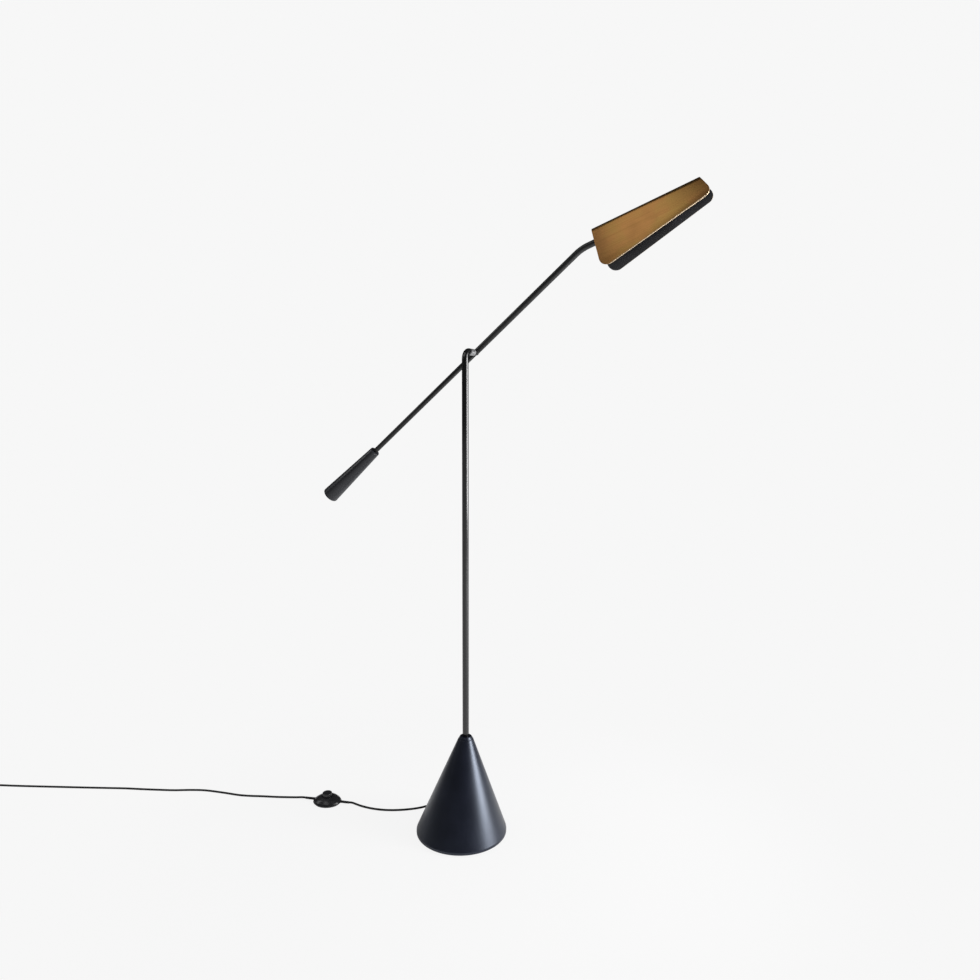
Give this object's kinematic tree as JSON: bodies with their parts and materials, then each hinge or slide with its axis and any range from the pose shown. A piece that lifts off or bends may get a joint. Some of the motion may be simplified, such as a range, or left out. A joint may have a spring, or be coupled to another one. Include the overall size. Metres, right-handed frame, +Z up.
{
  "type": "floor lamp",
  "caption": "Floor lamp with a black cone base, a slim pole, a counterweighted tilting arm and a folded brass shade that swivels, fed by a cord with a foot switch.",
  "frame": {"origin": "point on the floor under the pole's axis", "axes": "+Z up along the pole, +X along the arm's plane towards the shade, +Y towards the arm's side of the pole"},
  "size_m": [1.8811, 0.6436, 1.4335],
  "materials": {
    "black_enamel": "gloss",
    "weight_enamel": "satin",
    "ballast_iron": "matte",
    "plain_steel": "satin",
    "pivot_steel": "satin",
    "pad_rubber": "matte",
    "cord_black": "satin",
    "black_plastic": "satin",
    "shade_brass": "satin",
    "bar_aluminium": "satin",
    "board_white": "matte",
    "diffuser_opal": "satin",
    "driver_case": "matte"
  },
  "bodies": {
    "stand": {"base_cone": "black_enamel", "base_plate": "plain_steel", "base_ballast": "ballast_iron", "foot_pad": "pad_rubber", "tie_rod": "plain_steel", "tie_washer": "plain_steel", "tie_nut": "plain_steel", "pole_collar": "black_enamel", "cord_gland": "cord_black", "led_driver": "driver_case", "pole": "black_enamel", "pole_insert": "plain_steel", "pivot_knuckle": "pivot_steel", "friction_washer": "pivot_steel", "outer_washer": "pivot_steel", "pivot_bolt": "pivot_steel", "switch_pad": "pad_rubber", "switch_plate": "black_plastic", "switch_housing": "black_plastic", "switch_module": "driver_case", "switch_screws": "plain_steel", "switch_boots": "cord_black", "cord_base_run": "cord_black", "cord_floor_run": "cord_black", "cord_coil": "cord_black", "cord_tie": "pad_rubber", "cord_plug_run": "cord_black", "plug_boot": "cord_black", "plug_body": "black_plastic", "plug_pins": "plain_steel"},
    "arm": {"arm_hub": "black_enamel", "upper_arm": "black_enamel", "lower_arm": "black_enamel", "counterweight": "weight_enamel", "swivel_nipple": "black_enamel", "swivel_washer": "plain_steel", "swivel_nut": "plain_steel"},
    "shade_head": {"shade": "shade_brass", "shade_hub": "bar_aluminium", "light_bar": "bar_aluminium", "led_board": "board_white", "diffuser": "diffuser_opal"},
    "foot_button": {"switch_button": "black_plastic"}
  },
  "joints": [
    {"name": "arm_tilt", "type": "hinge", "parent": "stand", "child": "arm", "pos_m": [0, 0.04855, 1.118], "axis": [0, -1, 0], "range_deg": [-50, 35]},
    {"name": "shade_swivel", "type": "hinge", "parent": "arm", "child": "shade_head", "pos_m": [0.28634, 0.04855, 1.33432], "axis": [0.9489, 0, 0.3156], "range_deg": [-90, 90]},
    {"name": "switch_press", "type": "slide", "parent": "stand", "child": "foot_button", "axis": [0, 0, -1], "range_m": [0, 0.003], "stiffness_N_per_m": 600, "springref_m": -0.002}
  ]
}
